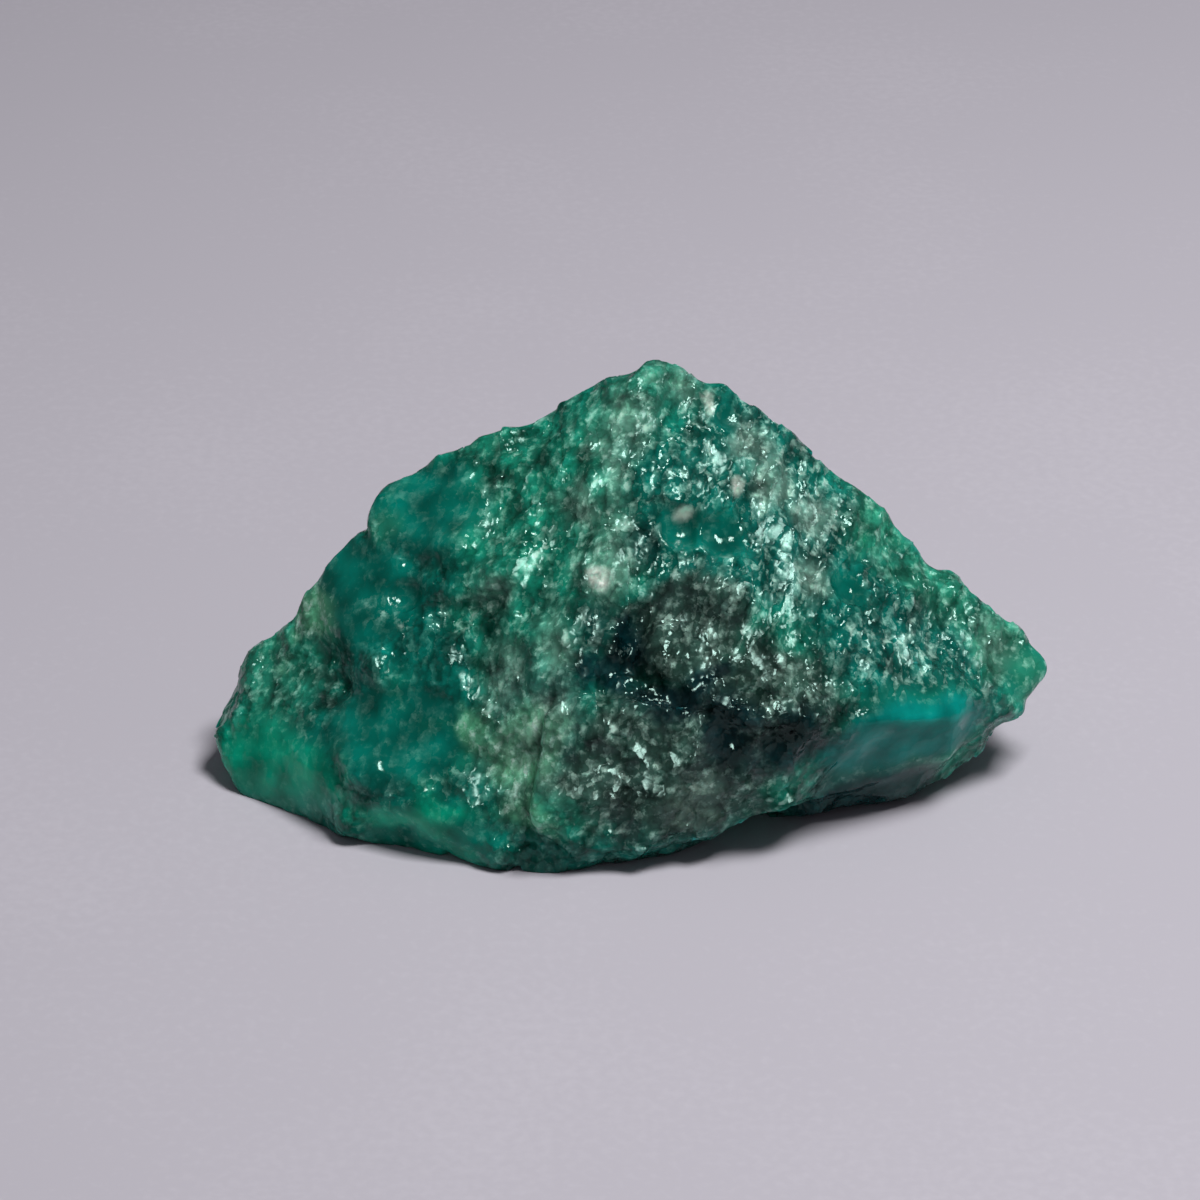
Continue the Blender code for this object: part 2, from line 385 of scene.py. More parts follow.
ZONES = (
    ColourZone(
        name="moss of the upper left",
        colour=MOSS,
        places=(
            Place((-3.4, 0.0, 11.6), (4.0, 5.0, 3.6)),
            Place((-4.4, -3.6, 8.0), (2.6, 2.8, 3.0)),
        ),
        clear=0.3,
        frost=0.35,
        strength=0.8,
    ),
    ColourZone(
        name="dark shoulders",
        colour=DEEP_TEAL,
        places=(
            Place((-9.9, -1.4, 7.4), (2.9, 3.4, 2.6)),
            Place((-8.0, 1.2, 9.8), (2.4, 3.0, 1.8)),
            Place((-7.2, -4.2, 5.8), (1.4, 1.7, 2.0)),
            Place((-9.4, -5.0, 4.0), (2.0, 1.7, 1.2)),
            Place((-8.0, -6.2, 3.3), (1.4, 1.3, 1.1)),
        ),
        clear=0.3,
        frost=0.08,
    ),
    ColourZone(
        name="sage patches of the left edge",
        colour=SAGE,
        places=(
            Place((-13.4, -1.0, 4.2), (2.5, 2.8, 1.9)),
            Place((-9.6, 1.5, 9.2), (1.0, 1.2, 0.8)),
            Place((-5.4, 1.6, 12.4), (1.1, 1.3, 0.9)),
        ),
        clear=0.25,
        frost=0.3,
        strength=0.65,
        soft=0.6,
    ),
    # Partly the stone's own emerald, partly painted glow: the thin lobe and foot are brightened
    # for the light that passes through them.
    ColourZone(
        name="emerald lobe and foot with painted glow",
        colour=EMERALD_WITH_PAINTED_GLOW,
        places=(
            Place((-13.8, -4.0, 1.4), (3.2, 2.4, 1.9)),
            Place((-11.8, -5.6, 2.3), (1.9, 1.6, 1.2)),
            Place((-8.0, -7.0, 0.8), (3.4, 2.0, 1.2)),
        ),
        clear=0.2,
        frost=0.05,
        strength=0.9,
        soft=0.6,
    ),
    ColourZone(
        name="milky crest",
        colour=MILKY_AND_PAINTED_LIGHT,
        places=(
            Place((-0.2, 1.0, 13.7), (0.7, 1.7, 1.1)),
            Place((-0.8, -0.9, 12.4), (0.6, 1.8, 1.5)),
            Place((-1.1, -3.2, 10.2), (0.7, 1.6, 1.5)),
            Place((-2.2, -1.1, 10.9), (0.6, 0.9, 0.7)),
            Place((-4.8, -2.7, 8.3), (0.8, 1.0, 0.8)),
            Place((-4.7, -5.4, 6.3), (0.8, 1.0, 0.8)),
            Place((1.7, 2.6, 14.5), (0.9, 0.9, 0.7)),
            Place((-2.9, -5.4, 7.5), (0.7, 1.4, 1.2)),
            Place((-3.2, -6.9, 5.4), (1.0, 1.5, 1.7)),
            Place((-4.2, -7.4, 3.2), (1.1, 1.3, 1.3)),
        ),
        clear=0.1,
        frost=0.7,
        strength=0.45,
        soft=0.8,
    ),
    ColourZone(
        name="pale moss below the crest and on the lobe",
        colour=PALE_MOSS,
        places=(
            Place((-3.8, -7.2, 4.0), (1.5, 1.7, 2.1)),
            Place((-3.2, -8.2, 1.8), (1.7, 1.2, 0.8)),
            Place((-5.8, -5.9, 4.6), (1.1, 1.1, 1.0)),
            Place((-13.2, -0.8, 5.1), (1.0, 1.2, 0.6)),
            Place((-12.2, -0.1, 6.0), (1.2, 1.6, 0.8)),
        ),
        clear=0.1,
        frost=0.8,
        strength=0.85,
    ),
    ColourZone(
        name="sea-green right face",
        colour=SEA_GREEN,
        places=(
            Place((4.4, -0.6, 11.0), (4.6, 4.6, 4.2)),
            Place((10.4, -3.0, 6.4), (4.4, 3.0, 2.2)),
        ),
        clear=0.3,
        frost=0.5,
        strength=0.85,
    ),
    # Partly milky cracks, partly painted sheen: these places are lightened for the silver flash
    # of the splintered facets.
    ColourZone(
        name="milky splinters and painted sheen of the right face",
        colour=MILKY_AND_PAINTED_LIGHT,
        places=(
            Place((5.0, 0.1, 11.5), (0.9, 1.2, 1.0)),
            Place((4.2, 1.2, 12.6), (0.7, 1.0, 0.8)),
            Place((6.7, -0.2, 10.4), (0.7, 1.1, 0.8)),
            Place((6.8, -2.4, 8.7), (0.9, 1.1, 0.9)),
        ),
        clear=0.1,
        frost=0.8,
        strength=0.5,
        soft=0.6,
    ),
    ColourZone(
        name="dark strip beside the crest",
        colour=NAVY_AND_PAINTED_SHADE,
        places=(
            Place((0.3, -2.7, 10.6), (0.8, 1.2, 0.9)),
            Place((-1.3, -5.1, 8.4), (0.7, 1.1, 0.9)),
        ),
        clear=0.2,
        frost=0.2,
        strength=0.75,
        soft=0.6,
        wander=0.4,
    ),
    ColourZone(
        name="clear windows of the right face",
        colour=DEEP_TEAL,
        places=(
            Place((1.9, -2.2, 10.9), (1.0, 1.0, 1.0)),
            Place((3.4, -2.4, 10.7), (1.1, 1.1, 1.1)),
            Place((8.0, -2.2, 8.3), (0.9, 0.9, 1.0)),
            Place((3.6, 1.7, 13.4), (0.8, 0.9, 0.8)),
            Place((8.7, -2.3, 7.8), (1.0, 0.9, 0.8)),
            Place((0.9, -0.4, 12.4), (0.7, 1.0, 0.9)),
        ),
        clear=0.35,
        frost=0.05,
        strength=0.95,
        soft=0.25,
        wander=0.4,
    ),
    # Partly pale inclusions, partly painted glints: white spots at the pits where they flash the
    # lamp.
    ColourZone(
        name="cream inclusions and painted glints",
        colour=CREAM_AND_PAINTED_GLINT,
        places=(
            Place((1.9, -1.9, 11.1), (0.42, 0.6, 0.32)),
            Place((3.3, -2.9, 10.4), (0.4, 0.6, 0.3)),
            Place((-1.3, -3.8, 9.8), (0.36, 0.6, 0.36)),
            Place((2.9, 1.9, 13.8), (0.22, 0.6, 0.36)),
            Place((3.8, -0.7, 11.6), (0.2, 0.6, 0.34)),
        ),
        clear=0.0,
        frost=0.6,
        strength=1.0,
        soft=0.4,
        wander=0.4,
    ),
    ColourZone(
        name="sage strip down the right",
        colour=SAGE,
        places=(
            Place((9.2, 0.9, 9.3), (1.7, 1.5, 1.4)),
            Place((11.4, 0.0, 7.4), (2.2, 1.6, 1.7)),
            Place((13.6, -0.8, 5.4), (1.9, 1.5, 1.2)),
            Place((15.0, -1.2, 3.9), (1.3, 1.6, 1.2)),
        ),
        clear=0.25,
        frost=0.3,
        strength=0.75,
    ),
    # Partly the stone's teal, partly painted reflection: the underside is brightened for the pale
    # floor that it mirrors.
    ColourZone(
        name="teal with painted floor reflection under the right edge",
        colour=TEAL_WITH_PAINTED_REFLECTION,
        places=(
            Place((9.6, -6.2, 3.9), (3.2, 2.0, 1.5)),
            Place((11.8, -4.6, 3.6), (2.0, 1.8, 1.2)),
        ),
        clear=0.2,
        frost=0.0,
        strength=1.0,
        soft=0.2,
        wander=0.3,
    ),
    # Painted shade: a dark sheet under the overhanging right edge, where its shadow falls.
    ColourZone(
        name="painted shade under the right edge",
        colour=NAVY_AND_PAINTED_SHADE,
        places=(Place((8.9, -4.9, 0.8), (3.8, 1.8, 1.6)),),
        clear=0.2,
        frost=0.0,
        strength=0.9,
        soft=0.2,
        wander=0.3,
    ),
    ColourZone(
        name="host rock",
        colour=HOST_ROCK,
        places=(
            Place((1.6, -8.0, 4.2), (4.2, 2.6, 3.4)),
            Place((4.6, -6.6, 6.4), (3.2, 2.2, 2.0)),
            Place((-0.5, -8.4, 4.4), (1.9, 2.0, 2.6)),
            Place((1.8, -5.4, 8.6), (2.4, 2.0, 1.7)),
        ),
        clear=0.0,
        frost=0.36,
        strength=0.9,
        soft=0.3,
    ),
    # Partly navy stone, partly painted shade in the groove and the undercut under the rock's
    # ledge.
    ColourZone(
        name="navy furrow and painted shade in the rock",
        colour=NAVY_AND_PAINTED_SHADE,
        places=(
            Place((0.0, -5.7, 7.9), (0.7, 1.2, 0.8)),
            Place((-0.3, -6.4, 7.2), (1.1, 1.2, 0.9)),
            Place((1.5, -7.3, 6.6), (1.7, 1.3, 0.7)),
            Place((3.4, -8.0, 5.2), (1.2, 1.3, 1.4)),
            Place((5.8, -7.4, 4.9), (1.7, 1.3, 1.2)),
            Place((-1.5, -6.1, 7.2), (0.7, 0.9, 0.8)),
            Place((2.5, -6.6, 7.1), (1.1, 0.8, 0.6)),
        ),
        clear=0.2,
        frost=0.0,
        strength=0.95,
        soft=0.45,
    ),
    ColourZone(
        name="teal band round the base",
        colour=DEEP_TEAL,
        places=(
            Place((-2.6, -8.4, 0.6), (3.4, 1.6, 0.9)),
            Place((2.6, -6.8, 0.8), (3.0, 2.0, 1.2)),
            Place((-5.4, -8.4, 0.9), (1.5, 1.0, 0.8)),
            Place((-6.1, -7.6, 2.3), (1.1, 0.9, 0.8)),
            Place((-9.2, -7.2, 0.3), (2.2, 1.2, 0.6)),
        ),
        clear=0.3,
        frost=0.15,
        strength=0.8,
    ),
    ColourZone(
        name="grey foot of the rock, pale spots and painted light",
        colour=MILKY_AND_PAINTED_LIGHT,
        places=(
            Place((2.4, -8.4, 2.8), (1.5, 1.2, 0.8)),
            # Painted light: this spot is lightened where the lamp meets its face at a low angle.
            Place((-3.7, -7.1, 4.2), (1.2, 1.0, 1.4)),
            Place((-2.4, -8.0, 3.2), (0.9, 1.0, 1.0)),
            Place((13.8, -0.9, 5.5), (1.0, 1.0, 0.7)),
        ),
        clear=0.0,
        frost=0.6,
        strength=0.3,
        soft=0.6,
    ),
)


# The two attributes of the mesh that carry the zones to the finish.
COLOUR_LAYER = "zone_colour"
NATURE_LAYER = "zone_nature"


@dataclass(frozen=True)
class BrokenCrystal:
    """Rough green gem crystal, such as beryl or fluorite, broken out and never polished.

    Breaking leaves glassy shell-shaped flakes and fine cracks. The eye sees a dark clear body
    under a crazed skin: flakes that flash the lamp, milky ones where cracks scatter the light,
    and dark creases between them.
    """

    name: str = "broken_green_crystal"
    # The white of fine cracks, which also stands for painted sheen on cleaved flakes, and the
    # green that the skin gives to what it mirrors.
    frosted_and_sheen: str = "#b4d8c8"
    glance: str = "#c8f2e6"
    # Fluorite bends light by 1.43 and beryl by 1.58. The skin's cracks dull its mirror.
    ior: float = 1.5
    specular: float = 0.35
    smoothest: float = 0.05
    roughest: float = 0.28
    # Light spreads a millimetre or two under the skin, and the body takes the red first.
    scatter_share: float = 0.8
    scatter_mm: float = 2.0
    scatter_reach: Triple = (0.5, 1.0, 0.9)
    let_through: str = "#00f3ec"
    absorbing_per_metre: float = 120.0
    # Real flakes go down to a few hundredths of a millimetre. Those do not show in the render,
    # so the finest are drawn 0.26 mm wide.
    flake_mm: Pair = (0.65, 0.26)
    flake_tilt: Pair = (0.55, 0.4)
    flake_hollow: Pair = (0.45, 0.25)
    # Painted shade: each flake's colour darkens toward the creases round it, and its middle is
    # lightened a little.
    crease_painted_shade: Pair = (0.55, 0.75)
    crease_reach: Pair = (0.45, 0.8)
    flake_crown: float = 1.08
    # The crumpled grain between the flakes, about a third of a millimetre across.
    crumple_mm: float = 1 / 3
    crumple_detail: float = 3.0
    crumple_roughness: float = 0.6
    crumple_tilt: float = 0.32
    stir_mm: float = 0.4
    stretch: float = 2.0
    # How far a cleaved place turns to the cleavage, and how calm its flakes lie.
    cleave_pull: float = 0.8
    cleave_calm: float = 0.4
    # Where the crumpled grain is milky, which flakes are, and how the two are broken up.
    milk_from: Pair = (0.55, 0.7)
    milk_most: float = 0.8
    fleck_from: Pair = (0.6, 0.75)
    fleck_grain: Pair = (0.38, 0.62)
    fleck_share: Pair = (0.1, 0.8)
    mottle_from: Pair = (0.3, 0.65)
    mottle_shade: Pair = (0.6, 1.15)

    def stirred(
        self, tree: bpy.types.NodeTree, at: bpy.types.NodeSocket, push: bpy.types.NodeSocket
    ) -> bpy.types.NodeSocket:
        """Push positions about and draw them out, so that the flakes are long and ragged.

        Args:
            tree: the material's node tree.
            at: positions in millimetres.
            push: which way to push each, round 0.

        Returns:
            The pushed positions.
        """
        stir = (self.stir_mm,) * 3
        moved = add_node(
            tree, "ShaderNodeVectorMath", {"operation": "MULTIPLY_ADD"}, {0: push, 1: stir, 2: at}
        ).outputs[0]
        axis = tuple(Vector(SPLINTER_RUN).normalized())
        run = add_node(
            tree, "ShaderNodeVectorMath", {"operation": "DOT_PRODUCT"}, {0: moved, 1: axis}
        ).outputs["Value"]
        cut = add_node(
            tree, "ShaderNodeMath", {"operation": "MULTIPLY"}, {0: run, 1: 1 / self.stretch - 1}
        ).outputs[0]
        along = add_node(
            tree, "ShaderNodeVectorMath", {"operation": "SCALE"}, {0: axis, "Scale": cut}
        ).outputs[0]
        return add_node(
            tree, "ShaderNodeVectorMath", {"operation": "ADD"}, {0: moved, 1: along}
        ).outputs[0]

    def tilted(
        self,
        tree: bpy.types.NodeTree,
        normal: bpy.types.NodeSocket,
        turn: bpy.types.NodeSocket,
        crush: bpy.types.NodeSocket,
        tilt: float,
    ) -> bpy.types.NodeSocket:
        """Lean a normal by a random turn.

        Args:
            tree: the material's node tree.
            normal: the normal so far.
            turn: the random turn, round 0.
            crush: how broken the skin is, from 0 to 1.
            tilt: how far the turn leans it.

        Returns:
            The leaned normal, not yet of length 1.
        """
        much = add_node(
            tree, "ShaderNodeMath", {"operation": "MULTIPLY"}, {0: crush, 1: tilt}
        ).outputs[0]
        lean = add_node(
            tree, "ShaderNodeVectorMath", {"operation": "SCALE"}, {0: turn, "Scale": much}
        ).outputs[0]
        return add_node(
            tree, "ShaderNodeVectorMath", {"operation": "ADD"}, {0: lean, 1: normal}
        ).outputs[0]

    def centred(
        self, tree: bpy.types.NodeTree, drawn: bpy.types.NodeSocket
    ) -> bpy.types.NodeSocket:
        """Bring a random colour to lie round 0.

        Args:
            tree: the material's node tree.
            drawn: the random colour, from 0 to 1.

        Returns:
            The same draw, from -0.5 to 0.5.
        """
        half = (0.5, 0.5, 0.5)
        return add_node(
            tree, "ShaderNodeVectorMath", {"operation": "SUBTRACT"}, {0: drawn, 1: half}
        ).outputs[0]

    def ranged(
        self,
        tree: bpy.types.NodeTree,
        value: bpy.types.NodeSocket,
        given: Pair,
        wanted: Pair,
    ) -> bpy.types.NodeSocket:
        """Map one range of numbers onto another, held at its ends.

        Args:
            tree: the material's node tree.
            value: the number to map.
            given: the range that it comes in.
            wanted: the range that it goes to.

        Returns:
            The mapped number.
        """
        return add_node(
            tree,
            "ShaderNodeMapRange",
            None,
            {
                "Value": value,
                "From Min": given[0],
                "From Max": given[1],
                "To Min": wanted[0],
                "To Max": wanted[1],
            },
        ).outputs["Result"]

    def make(self) -> bpy.types.Material:
        """Build the material.

        Returns:
            The material, which reads the two attributes that the stone carries.
        """
        material = bpy.data.materials.new(self.name)
        material.use_nodes = True
        tree = material.node_tree
        tree.nodes.clear()
        place = add_node(tree, "ShaderNodeTexCoord").outputs["Object"]
        at = add_node(
            tree, "ShaderNodeVectorMath", {"operation": "SCALE"}, {0: place, "Scale": 1 / MM}
        ).outputs[0]
        layer = {"attribute_name": COLOUR_LAYER}
        colour = add_node(tree, "ShaderNodeAttribute", layer).outputs["Color"]
        layer = {"attribute_name": NATURE_LAYER}
        nature = add_node(tree, "ShaderNodeAttribute", layer).outputs
        cleaved = nature["Alpha"]
        clear, frost, crush = add_node(
            tree, "ShaderNodeSeparateColor", None, {"Color": nature["Color"]}
        ).outputs

        crumple = add_node(
            tree,
            "ShaderNodeTexNoise",
            None,
            {
                "Vector": at,
                "Scale": 1 / self.crumple_mm,
                "Detail": self.crumple_detail,
                "Roughness": self.crumple_roughness,
            },
        )
        push = self.centred(tree, crumple.outputs["Color"])
        stirred = self.stirred(tree, at, push)
        normal = add_node(tree, "ShaderNodeNewGeometry").outputs["Normal"]
        share = add_node(
            tree, "ShaderNodeMath", {"operation": "MULTIPLY"}, {0: cleaved, 1: self.cleave_pull}
        ).outputs[0]
        normal = add_node(
            tree,
            "ShaderNodeMix",
            {"data_type": "VECTOR"},
            {"Factor": share, 4: normal, 5: CLEAVAGE},
        ).outputs[1]
        calm = self.ranged(tree, cleaved, (0.0, 1.0), (1.0, self.cleave_calm))
        broken = add_node(
            tree, "ShaderNodeMath", {"operation": "MULTIPLY"}, {0: crush, 1: calm}
        ).outputs[0]
        normal = self.tilted(tree, normal, push, broken, self.crumple_tilt)
        draws = []
        gaps = []
        for size, tilt, hollow in zip(self.flake_mm, self.flake_tilt, self.flake_hollow):
            flake = add_node(
                tree, "ShaderNodeTexVoronoi", None, {"Vector": stirred, "Scale": 1 / size}
            )
            turn = self.centred(tree, flake.outputs["Color"])
            normal = self.tilted(tree, normal, turn, broken, tilt)
            inward = add_node(
                tree,
                "ShaderNodeVectorMath",
                {"operation": "SUBTRACT"},
                {0: flake.outputs["Position"], 1: stirred},
            ).outputs[0]
            normal = self.tilted(tree, normal, inward, broken, hollow / size)
            split = add_node(
                tree, "ShaderNodeSeparateColor", None, {"Color": flake.outputs["Color"]}
            )
            draws.append(split.outputs)
            gaps.append(flake.outputs["Distance"])
        normal = add_node(
            tree, "ShaderNodeVectorMath", {"operation": "NORMALIZE"}, {0: normal}
        ).outputs[0]

        grain = crumple.outputs[0]
        milk = self.ranged(tree, grain, self.milk_from, (0.0, self.milk_most))
        drawn = self.ranged(tree, draws[1]["Green"], self.fleck_from, (0.0, 1.0))
        broken_up = self.ranged(tree, grain, self.fleck_grain, self.fleck_share)
        flecked = add_node(
            tree, "ShaderNodeMath", {"operation": "MULTIPLY"}, {0: drawn, 1: broken_up}
        ).outputs[0]
        pale = add_node(tree, "ShaderNodeMath", {"operation": "ADD"}, {0: milk, 1: flecked})
        whitened = add_node(
            tree,
            "ShaderNodeMath",
            {"operation": "MULTIPLY", "use_clamp": True},
            {0: pale.outputs[0], 1: frost},
        ).outputs[0]
        shown = add_node(
            tree,
            "ShaderNodeMix",
            {"data_type": "RGBA"},
            {"Factor": whitened, 6: colour, 7: linear_colour(self.frosted_and_sheen)},
        ).outputs[2]
        shade = self.ranged(tree, grain, self.mottle_from, self.mottle_shade)
        # Painted shade: darker toward the creases between flakes, lighter in their middles.
        for gap, darkest in zip(gaps, self.crease_painted_shade):
            painted_crease_shade = self.ranged(tree, gap, self.crease_reach, (self.flake_crown, darkest))
            shade = add_node(
                tree, "ShaderNodeMath", {"operation": "MULTIPLY"}, {0: shade, 1: painted_crease_shade}
            ).outputs[0]
        shade = add_node(
            tree,
            "ShaderNodeMix",
            {"data_type": "FLOAT"},
            {"Factor": crush, 2: 1.0, 3: shade},
        ).outputs[0]
        shown = add_node(
            tree, "ShaderNodeVectorMath", {"operation": "SCALE"}, {0: shown, "Scale": shade}
        ).outputs[0]
        seen_through = add_node(
            tree,
            "ShaderNodeMath",
            {"operation": "SUBTRACT", "use_clamp": True},
            {0: clear, 1: whitened},
        ).outputs[0]
        drawn = add_node(
            tree, "ShaderNodeMath", {"operation": "MULTIPLY"}, {0: draws[0]["Blue"], 1: crush}
        ).outputs[0]
        rough = self.ranged(tree, drawn, (0.0, 1.0), (self.smoothest, self.roughest))
        shader = add_node(
            tree,
            "ShaderNodeBsdfPrincipled",
            {"subsurface_method": "RANDOM_WALK"},
            {
                "Base Color": shown,
                "IOR": self.ior,
                "Specular IOR Level": self.specular,
                "Specular Tint": linear_colour(self.glance),
                "Roughness": rough,
                "Normal": normal,
                "Transmission Weight": seen_through,
                "Subsurface Weight": self.scatter_share,
                "Subsurface Radius": self.scatter_reach,
                "Subsurface Scale": self.scatter_mm * MM,
            },
        )
        absorbed = add_node(
            tree,
            "ShaderNodeVolumeAbsorption",
            None,
            {"Color": linear_colour(self.let_through), "Density": self.absorbing_per_metre},
        )
        add_node(
            tree,
            "ShaderNodeOutputMaterial",
            None,
            {"Surface": shader.outputs["BSDF"], "Volume": absorbed.outputs["Volume"]},
        )
        return material


@dataclass
class RoughStone:
    """The whole natural piece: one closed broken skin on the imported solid's form."""

    node: str = "rough_stone"
    name: str = "broken_crystal_stone"
    weld_gap: float = 0.001 * MM
    rounding: int = 20
    rounded_soft: float = 0.5
    division: int = 3
    triangles: int = 194000
    crease_deg: float = 24.0
    # How much a pit calms the chips inside it, and how high over the base they set in.
    pit_calm: float = 0.8
    rest_band: float = 0.6
    # The body's own colour and what it drifts to: waves per millimetre, contrast and share.
    body: str = DEEP_TEAL
    body_clear: float = 0.3
    body_frost: float = 0.25
    drift: str = MOSS
    drift_fine: float = 0.22
    drift_contrast: float = 2.5
    drift_share: float = 0.8
    # Lighter and darker patches, just under a millimetre across.
    patch_fine: float = 1.1
    patch_swing: float = 0.7
    patch_limits: Pair = (0.4, 1.7)
    # Painted shade: how much darker the colour is made along the furrows.
    furrow_painted_shade: float = 0.7
    glassy_crush: float = 0.2
    cleaved_soft: float = 0.45
    # Painted sheen: cleaved places are also given milky flakes, standing for the silver flash of
    # their facets.
    cleaved_frost_and_sheen: float = 0.6
    cleaved_least: float = 0.6
    cleaved_swing: float = 1.6
    # How the zones' edges wander: waves per millimetre and millimetres moved.
    wander: tuple[Pair, ...] = ((0.4, 0.9), (1.1, 0.45), (3.0, 0.2))
    # Blender seeds its vector noise by the clock. This seed makes each run wander the same way.
    wander_seed: int = 1795858530
    finish: BrokenCrystal = field(default_factory=BrokenCrystal)

    def build(self) -> bpy.types.Object:
        """Copy the solid's skin, break it and dress it.

        Returns:
            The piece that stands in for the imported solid.
        """
        piece = self.fine_copy()
        self.break_skin(piece)
        self.thin_out(piece)
        self.lay_zones(piece)
        piece.data.materials.append(self.finish.make())
        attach(piece, "root")
        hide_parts(self.node)
        return piece

    def fine_copy(self) -> bpy.types.Object:
        """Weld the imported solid's skin, round what is worn and divide it finely.

        Returns:
            A new object with the divided skin.
        """
        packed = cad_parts[self.node]
        shell = bmesh.new()
        shell.from_mesh(packed.data)
        bmesh.ops.remove_doubles(shell, verts=shell.verts, dist=self.weld_gap)
        mesh = bpy.data.meshes.new(self.name)
        shell.to_mesh(mesh)
        shell.free()
        mesh.materials.clear()
        piece = bpy.data.objects.new(self.name, mesh)
        bpy.context.scene.collection.objects.link(piece)
        flat = np.empty(len(mesh.vertices) * 3, np.float32)
        mesh.vertices.foreach_get("co", flat)
        points = flat.reshape(-1, 3) / MM
        rounded = [place.share(points, self.rounded_soft) for place in ROUNDED_PLACES]
        group = piece.vertex_groups.new(name="rounded")
        for index, share in enumerate(np.max(rounded, axis=0).tolist()):
            group.add([index], share, "REPLACE")
        worn = piece.modifiers.new("rounded", "SMOOTH")
        worn.iterations = self.rounding
        worn.vertex_group = group.name
        divide = piece.modifiers.new("divide", "SUBSURF")
        divide.levels = self.division
        divide.render_levels = self.division
        self.apply_modifiers(piece)
        return piece

    def apply_modifiers(self, piece: bpy.types.Object) -> None:
        """Replace the piece's mesh by what its modifiers give.

        Args:
            piece: the object whose modifiers are used up.
        """
        graph = bpy.context.evaluated_depsgraph_get()
        made = bpy.data.meshes.new_from_object(piece.evaluated_get(graph))
        used = piece.data
        piece.modifiers.clear()
        piece.data = made
        bpy.data.meshes.remove(used)
        made.name = piece.name

    def break_skin(self, piece: bpy.types.Object) -> None:
        """Move the skin in and out into chips, splinters and glassy hollows.

        Args:
            piece: the finely divided stone.
        """
        mesh = piece.data
        points = self.skin_points(mesh)
        flat = np.empty(points.size, np.float32)
        mesh.vertex_normals.foreach_get("vector", flat)
        normals = flat.reshape(-1, 3).astype(np.float64)
        glassy = np.max([place.share(points) for place in GLASSY_PLACES], axis=0)
        splintered = np.max([place.share(points) for place in SPLINTERED_PLACES], axis=0)
        splintered = splintered * (1 - glassy)
        shares = {
            Break.CHIPPED: 1 - np.maximum(glassy, splintered),
            Break.SPLINTERED: splintered,
            Break.GLASSY: glassy,
        }
        rise = np.zeros(len(points))
        for kind, chips in STONE_CHIPS:
            met = shares[kind] > 0
            rise[met] += chips.heights(points[met]) * shares[kind][met]
        for pit in PITS:
            rise *= 1 - self.pit_calm * pit.share(points)
            rise -= pit.depths(points)
        for hollow in (*DENTS, *FURROWS):
            rise -= hollow.depths(points)
        off_base = np.clip(points[:, 2] / self.rest_band, 0, 1)
        moved = points + normals * (rise * off_base)[:, None]
        low = np.array(CAD_BOX[0]) / MM
        high = np.array(CAD_BOX[1]) / MM
        moved = np.clip(moved, low, high)
        mesh.vertices.foreach_set("co", (moved * MM).astype(np.float32).ravel())
        mesh.update()

    def skin_points(self, mesh: bpy.types.Mesh) -> np.ndarray:
        """Read the points of a skin.

        Args:
            mesh: the skin.

        Returns:
            Positions in millimetres, one row each.
        """
        flat = np.empty(len(mesh.vertices) * 3, np.float32)
        mesh.vertices.foreach_get("co", flat)
        return flat.reshape(-1, 3).astype(np.float64) / MM

    def noise_at(self, points: np.ndarray, fine: float) -> np.ndarray:
        """Draw smooth noise at each point.

        Args:
            points: positions in millimetres, one row each.
            fine: the noise's waves per millimetre.

        Returns:
            One value round 0 for each point.
        """
        return np.array([noise.noise(point * fine) for point in map(Vector, points)])

    def stirred(self, points: np.ndarray) -> np.ndarray:
        """Work out how far the zones' edges wander at each point.

        Args:
            points: positions in millimetres, one row each.

        Returns:
            Moves in millimetres, one row each.
        """
        noise.seed_set(self.wander_seed)
        moves = np.zeros_like(points)
        for fine, reach in self.wander:
            pushed = [noise.noise_vector(point * fine) for point in map(Vector, points)]
            moves += np.array(pushed) * reach
        return moves

    def lay_zones(self, piece: bpy.types.Object) -> None:
        """Give every corner of the skin its zone's colour and nature, for the finish to read.

        The nature holds the clearness, the frost, how crushed the skin is and how cleaved.

        Args:
            piece: the broken and thinned stone.
        """
        mesh = piece.data
        points = self.skin_points(mesh)
        moves = self.stirred(points)
        coarse = self.noise_at(points, self.drift_fine)
        drifted = np.clip(0.5 + self.drift_contrast * coarse, 0, 1)[:, None]
        body = np.array(linear_colour(self.body))
        drift = np.array(linear_colour(self.drift))
        colour = body + (drift - body) * drifted * self.drift_share
        plain = np.array([[self.body_clear, self.body_frost, 1.0, 0.0]])
        nature = np.tile(plain, (len(points), 1))
        for zone in ZONES:
            met = points + moves * zone.wander
            share = np.max([place.share(met, zone.soft) for place in zone.places], axis=0)
            share = (share * zone.strength)[:, None]
            colour += (np.array(linear_colour(zone.colour)) - colour) * share
            nature[:, :2] += (np.array([zone.clear, zone.frost]) - nature[:, :2]) * share

        patch = self.noise_at(points, self.patch_fine)
        furrowed = np.max([line.depths(points) / line.depth for line in FURROWS], axis=0)
        colour[:, :3] *= np.clip(1 + self.patch_swing * patch, *self.patch_limits)[:, None]
        # Painted shade along the furrows.
        colour[:, :3] *= 1 - self.furrow_painted_shade * furrowed[:, None]
        glassy = np.max([place.share(points) for place in GLASSY_PLACES], axis=0)
        pitted = np.max([pit.share(points) for pit in PITS], axis=0)
        nature[:, 2] = 1 - (1 - self.glassy_crush) * np.maximum(glassy, pitted)
        met = points + moves
        cleaved = [place.share(met, self.cleaved_soft) for place in CLEAVED_PLACES]
        patchy = np.clip(self.cleaved_least + self.cleaved_swing * patch, 0, 1)
        nature[:, 3] = np.max(cleaved, axis=0) * patchy * ((1 - pitted) * (1 - furrowed))
